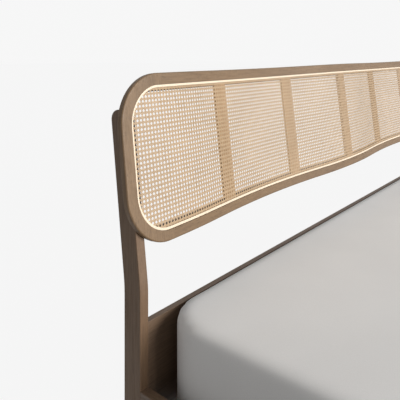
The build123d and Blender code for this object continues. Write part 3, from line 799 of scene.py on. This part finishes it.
# Steps of the rounding at the corners, the upper edges and the lower edges
CORNER_STEPS, UPPER_STEPS, LOWER_STEPS = 12, 5, 4
VOXEL = 0.015
# Pressure of the stuffing, and the frames that it has to settle in
PRESSURE = 4.0
SETTLE_FRAMES = 20
# How far above the slats the underside is held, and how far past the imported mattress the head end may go
UNDER_GAP = 0.0002
HEAD_SPARE = 0.0015


def linen_material():
    """Make a pale fitted sheet with a fine plain weave."""
    sheet = tuple(bpy.context.scene.cane_bed_mattress.sheet)
    material, tree, shader = new_material("Fitted sheet")
    coords = object_coords(tree, (1.0, 1.0, 1.0))
    weave = noise(tree, coords, THREADS, 2.0)
    cloud = noise(tree, coords, CLOUDS, 3.0)
    tone = ramp(tree, cloud, [(0.3, shade(sheet, 0.965)), (0.7, shade(sheet, 1.02))])
    threads = ramp(tree, weave, [(0.3, grey(0.93)), (0.7, grey(1.0))])
    tree.links.new(multiply(tree, tone, threads), shader.inputs["Base Color"])
    shader.inputs["Roughness"].default_value = 0.85
    shader.inputs["Sheen Weight"].default_value = 0.15
    shader.inputs["Specular IOR Level"].default_value = 0.2
    bump(tree, weave, shader, strength=0.25, distance=0.0003)
    return material


class CANEBED_OT_mattress(bpy.types.Operator):
    """Make the mattress in its fitted sheet"""

    bl_idname = "cane_bed.mattress"
    bl_label = "Make the mattress"

    def execute(self, context):
        sizes = context.scene.cane_bed_mattress
        low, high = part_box("mattress")
        middle = (low + high) / 2
        size = high - low
        start_clean()
        bpy.ops.mesh.primitive_cube_add(size=1.0, location=middle)
        piece = context.active_object
        piece.scale = size + 2 * Vector((sizes.spare, sizes.spare, sizes.spare))
        bpy.ops.object.transform_apply(location=True, rotation=False, scale=True)
        round_edges(piece, lambda a, b: abs(a.z - b.z) > size.z / 2, sizes.corner, CORNER_STEPS)
        round_edges(piece, lambda a, b: min(a.z, b.z) > middle.z, sizes.edge, UPPER_STEPS)
        round_edges(piece, lambda a, b: max(a.z, b.z) < middle.z, sizes.edge / 2, LOWER_STEPS)
        apply_modifier(piece, "REMESH", mode="VOXEL", voxel_size=VOXEL)
        for v in piece.data.vertices:
            if v.co.z > middle.z:
                away = max(abs(v.co.x - middle.x) / (size.x / 2), abs(v.co.y - middle.y) / (size.y / 2))
                v.co.z -= sizes.crown * away * away * (v.co.z - middle.z) / (size.z / 2)
        swell(piece, sizes.swell)
        for v in piece.data.vertices:
            v.co.z = max(v.co.z, low.z + UNDER_GAP)
            v.co.y = min(v.co.y, high.y + HEAD_SPARE)
        apply_modifier(piece, "SMOOTH", factor=0.5, iterations=1)
        apply_modifier(piece, "SUBSURF", levels=1, render_levels=1)
        bpy.ops.object.shade_smooth()
        finish_piece(piece, "mattress_sheet", MATTRESS_BODY, linen_material())
        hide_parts("mattress")
        return {"FINISHED"}


def apply_modifier(piece, kind, **settings):
    """Add a modifier to a piece, set it up and apply it."""
    modifier = piece.modifiers.new(kind.capitalize(), kind)
    for setting, value in settings.items():
        setattr(modifier, setting, value)
    bpy.ops.object.modifier_apply(modifier=modifier.name)


def round_edges(piece, wanted, offset, segments):
    """Round the edges whose two ends pass a test."""
    bpy.ops.object.mode_set(mode="EDIT")
    bpy.ops.mesh.select_mode(type="EDGE")
    bpy.ops.mesh.select_all(action="DESELECT")
    shape = bmesh.from_edit_mesh(piece.data)
    for edge in shape.edges:
        edge.select = wanted(edge.verts[0].co, edge.verts[1].co)
    bmesh.update_edit_mesh(piece.data)
    bpy.ops.mesh.bevel(offset=offset, segments=segments, affect="EDGES")
    bpy.ops.object.mode_set(mode="OBJECT")


def swell(piece, limit):
    """Swell a pad by cloth pressure, no point farther than a limit, and apply it."""
    starts = [v.co.copy() for v in piece.data.vertices]
    cloth = piece.modifiers.new("Cloth", "CLOTH")
    cloth.settings.use_pressure = True
    cloth.settings.uniform_pressure_force = PRESSURE
    cloth.settings.effector_weights.gravity = 0.0
    for step in range(SETTLE_FRAMES):
        bpy.context.scene.frame_set(step + 1)
    bpy.ops.object.modifier_apply(modifier=cloth.name)
    bpy.context.scene.frame_set(1)
    for v, start in zip(piece.data.vertices, starts):
        way = v.co - start
        if way.length > limit:
            v.co = start + way * (limit / way.length)


# Studio
FLOOR_RADIUS = 40.0
# How far the floor lies under the glides, so that the two don't share a plane
FLOOR_DROP = 0.0005
FLOOR_GREY = 0.42
# How much of the floor that the camera sees is plain backdrop; the rest takes the bed's shadow
FLOOR_GLOW = 0.985
FILL_LIGHT = 0.36
SUN_STRENGTH = 5.0
SUN_SPREAD = math.radians(35)
SUN_FROM = (0.25, -0.94, 0.235)
SENSOR_WIDTH = 36.0
# Shift of the picture, in sensor widths: it keeps upright edges upright
SHIFT_X = 0.0103
SHIFT_Y = -0.375
NEAREST_SEEN = 0.05


def ray_is(tree, *kinds):
    """Return a value that is 1 for rays of the given kinds and 0 for others."""
    path = tree.nodes.new("ShaderNodeLightPath")
    value = path.outputs[kinds[0]]
    for kind in kinds[1:]:
        either = tree.nodes.new("ShaderNodeMath")
        either.operation = "MAXIMUM"
        tree.links.new(value, either.inputs[0])
        tree.links.new(path.outputs[kind], either.inputs[1])
        value = either.outputs["Value"]
    return value


def mix_shaders(tree, factor, first, second, surface):
    """Mix two shaders by a factor into a surface."""
    mix = tree.nodes.new("ShaderNodeMixShader")
    tree.links.new(factor, mix.inputs["Fac"])
    tree.links.new(first, mix.inputs[1])
    tree.links.new(second, mix.inputs[2])
    tree.links.new(mix.outputs["Shader"], surface)


def set_floor(backdrop):
    """Lay a wide floor that looks like the backdrop and takes a faint shadow."""
    start_clean()
    bpy.ops.mesh.primitive_circle_add(
        vertices=96, radius=FLOOR_RADIUS, fill_type="NGON", location=(0.0, 0.0, -FLOOR_DROP)
    )
    floor = bpy.context.active_object
    floor.name = "studio_floor"
    bpy.ops.object.transform_apply(location=True, rotation=False, scale=False)
    material, tree, shader = new_material("Studio floor")
    shader.inputs["Base Color"].default_value = grey(FLOOR_GREY)
    shader.inputs["Roughness"].default_value = 0.9
    glow = tree.nodes.new("ShaderNodeEmission")
    glow.inputs["Color"].default_value = backdrop
    share = tree.nodes.new("ShaderNodeMath")
    share.operation = "MULTIPLY"
    share.inputs[1].default_value = FLOOR_GLOW
    tree.links.new(ray_is(tree, "Is Camera Ray", "Is Glossy Ray"), share.inputs[0])
    surface = tree.nodes["Material Output"].inputs["Surface"]
    mix_shaders(tree, share.outputs["Value"], shader.outputs["BSDF"], glow.outputs["Emission"], surface)
    floor.data.materials.append(material)


def set_world(backdrop):
    """Surround the bed with the backdrop's colour, and light it with an even white."""
    world = bpy.data.worlds.new("Studio")
    bpy.context.scene.world = world
    world.use_nodes = True
    tree = world.node_tree
    tree.nodes.clear()
    out = tree.nodes.new("ShaderNodeOutputWorld")
    seen = tree.nodes.new("ShaderNodeBackground")
    seen.inputs["Color"].default_value = backdrop
    light = tree.nodes.new("ShaderNodeBackground")
    light.inputs["Color"].default_value = grey(1.0)
    light.inputs["Strength"].default_value = FILL_LIGHT
    direct = ray_is(tree, "Is Camera Ray", "Is Glossy Ray", "Is Transmission Ray")
    mix_shaders(tree, direct, light.outputs["Background"], seen.outputs["Background"], out.inputs["Surface"])


def set_sun():
    """Hang one broad light over the bed's foot."""
    sun = bpy.data.lights.new("Key", "SUN")
    sun.energy = SUN_STRENGTH
    sun.angle = SUN_SPREAD
    lamp = bpy.data.objects.new("Key", sun)
    lamp.rotation_mode = "QUATERNION"
    lamp.rotation_quaternion = Vector(SUN_FROM).normalized().to_track_quat("Z", "Y")
    bpy.context.scene.collection.objects.link(lamp)


def set_camera(stage):
    """Stand the camera where the photographer stood, held level."""
    data = bpy.data.cameras.new("Camera")
    data.lens = stage.lens
    data.sensor_width = SENSOR_WIDTH
    data.sensor_fit = "HORIZONTAL"
    data.shift_x = SHIFT_X
    data.shift_y = SHIFT_Y
    data.clip_start = NEAREST_SEEN
    camera = bpy.data.objects.new("Camera", data)
    camera.location = stage.camera
    camera.rotation_euler = (math.radians(90), 0.0, -stage.turn)
    bpy.context.scene.collection.objects.link(camera)
    bpy.context.scene.camera = camera


class CANEBED_OT_studio(bpy.types.Operator):
    """Set the floor, the light and the camera"""

    bl_idname = "cane_bed.studio"
    bl_label = "Set the studio"

    def execute(self, context):
        stage = context.scene.cane_bed_stage
        backdrop = (*stage.backdrop, 1.0)
        set_floor(backdrop)
        set_world(backdrop)
        set_sun()
        set_camera(stage)
        context.scene.view_settings.view_transform = "Standard"
        return {"FINISHED"}


class CANEBED_PT_panel(bpy.types.Panel):
    """Lists the bed's sizes, colours and steps"""

    bl_idname = "CANEBED_PT_panel"
    bl_label = "Cane Bed"
    bl_space_type = "VIEW_3D"
    bl_region_type = "UI"
    bl_category = "Cane Bed"

    def draw(self, context):
        layout = self.layout
        for group in GROUPS:
            box = layout.box()
            box.label(text=group.replace("cane_bed_", "").capitalize())
            for item in getattr(context.scene, group).bl_rna.properties:
                if not item.is_readonly and item.identifier != "name":
                    box.prop(getattr(context.scene, group), item.identifier)
        for operator in OPERATORS:
            layout.operator(operator.bl_idname)


OPERATORS = (
    CANEBED_OT_studio,
    CANEBED_OT_headboard,
    CANEBED_OT_weave,
    CANEBED_OT_posts,
    CANEBED_OT_base,
    CANEBED_OT_fittings,
    CANEBED_OT_mattress,
)


def register():
    """Register the sizes, the operators and the panel."""
    for name, group in GROUPS.items():
        bpy.utils.register_class(group)
        setattr(bpy.types.Scene, name, bpy.props.PointerProperty(type=group))
    for operator in OPERATORS:
        bpy.utils.register_class(operator)
    bpy.utils.register_class(CANEBED_PT_panel)


def unregister():
    """Take everything back out."""
    bpy.utils.unregister_class(CANEBED_PT_panel)
    for operator in reversed(OPERATORS):
        bpy.utils.unregister_class(operator)
    for name, group in GROUPS.items():
        delattr(bpy.types.Scene, name)
        bpy.utils.unregister_class(group)


def main():
    """Dress the bed."""
    register()
    bpy.ops.cane_bed.studio()
    bpy.ops.cane_bed.headboard()
    bpy.ops.cane_bed.weave()
    bpy.ops.cane_bed.posts()
    bpy.ops.cane_bed.base()
    bpy.ops.cane_bed.fittings()
    bpy.ops.cane_bed.mattress()


if __name__ == "__main__":
    main()
